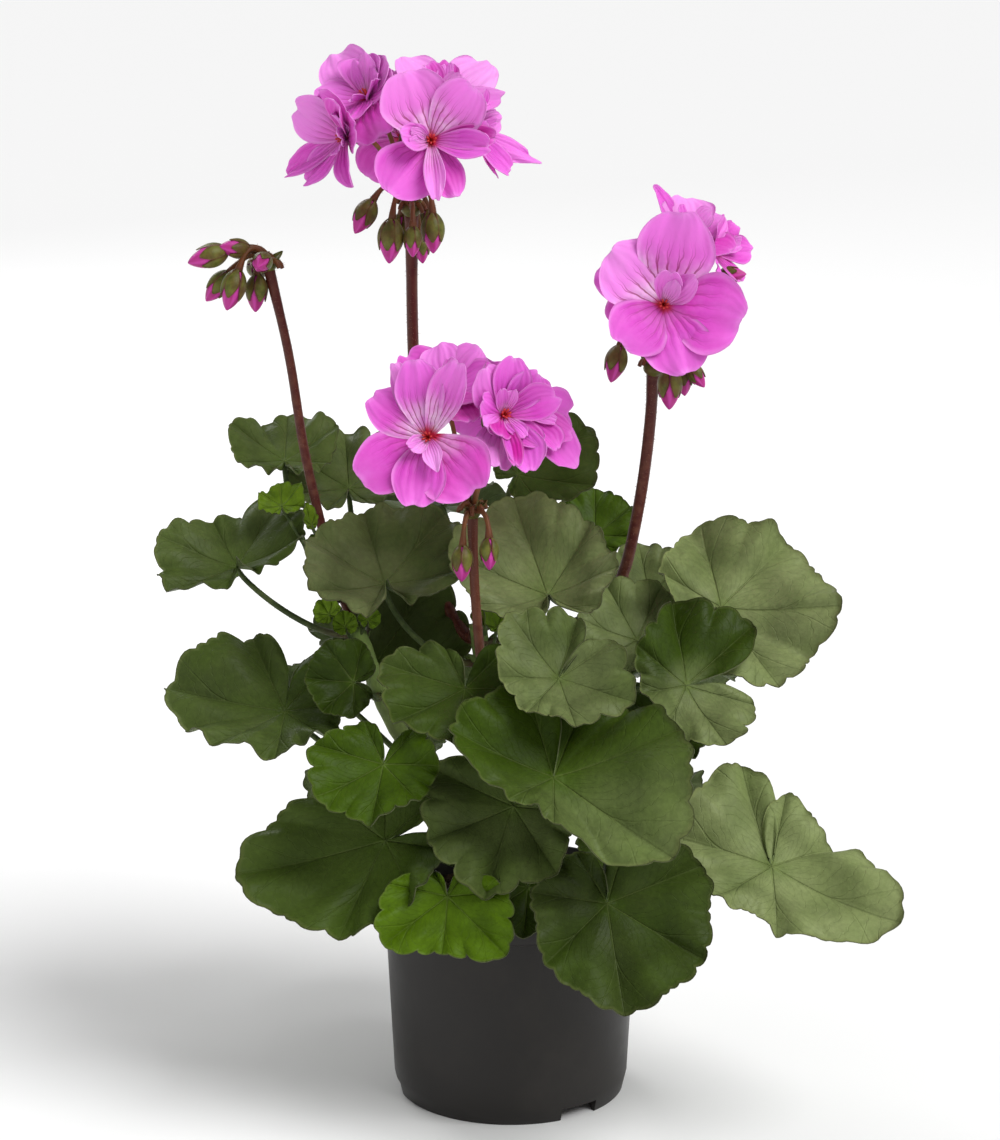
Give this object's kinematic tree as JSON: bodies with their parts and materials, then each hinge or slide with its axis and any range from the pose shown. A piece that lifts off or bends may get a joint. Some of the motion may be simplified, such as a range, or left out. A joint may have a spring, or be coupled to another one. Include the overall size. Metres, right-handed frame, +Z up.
{
  "type": "potted zonal geranium",
  "caption": "Flowering zonal geranium with scalloped round leaves and domed pink flower heads, growing in a plain round nursery pot.",
  "frame": {"origin": "on the pot's axis, at the surface that the pot stands on", "axes": "+Z up along the pot's axis; the plant's front looks along -Y; +X to the right seen from the front"},
  "size_m": [0.3051, 0.211, 0.4521],
  "materials": {
    "pot": "dark grey, satin",
    "soil": "dark brown, crumbly",
    "stem": "green to brown, finely hairy",
    "leaf": "dark green, soft satin, finely hairy",
    "leaf_pale": "grey green, soft satin",
    "leaf_young": "bright green, soft satin",
    "leaf_yellow": "yellow green, soft satin",
    "stalk": "red brown, finely hairy",
    "petal": "pink, silky, dark veins near the throat"
  },
  "bodies": {
    "root": {"pot": "pot", "soil": "soil", "stem": "stem", "leaf_back_left": "leaf", "leaf_back_low_left": "leaf", "leaf_back_low_right": "leaf", "leaf_back_middle": "leaf", "leaf_back_right": "leaf", "leaf_back_top": "leaf", "leaf_back_upper": "leaf", "leaf_behind_centre_head": "leaf", "leaf_behind_left_head": "leaf", "leaf_bright_behind": "leaf_young", "leaf_centre_left": "leaf", "leaf_centre_right": "leaf", "leaf_front_left": "leaf", "leaf_front_middle": "leaf", "leaf_front_pale": "leaf_pale", "leaf_front_right": "leaf", "leaf_front_upper": "leaf", "leaf_left_dark": "leaf", "leaf_left_small": "leaf", "leaf_left_top": "leaf", "leaf_left_upper": "leaf", "leaf_left_wide": "leaf", "leaf_low_dark": "leaf", "leaf_low_front": "leaf", "leaf_low_left": "leaf", "leaf_low_right": "leaf", "leaf_low_yellow": "leaf_yellow", "leaf_right_behind": "leaf", "leaf_right_inner": "leaf", "leaf_right_low": "leaf_pale", "leaf_right_middle": "leaf", "leaf_right_top": "leaf_pale", "leaf_right_tucked": "leaf", "leaf_side_left": "leaf", "leaf_side_right": "leaf", "stalk_left_buds": "stalk", "stalk_middle": "stalk", "stalk_right": "stalk", "stalk_top": "stalk", "florets_middle_1": "petal", "florets_middle_2": "petal", "florets_middle_3": "petal", "florets_right_1": "petal", "florets_right_2": "petal", "florets_top_1": "petal", "florets_top_2": "petal", "florets_top_3": "petal"}
  },
  "joints": []
}
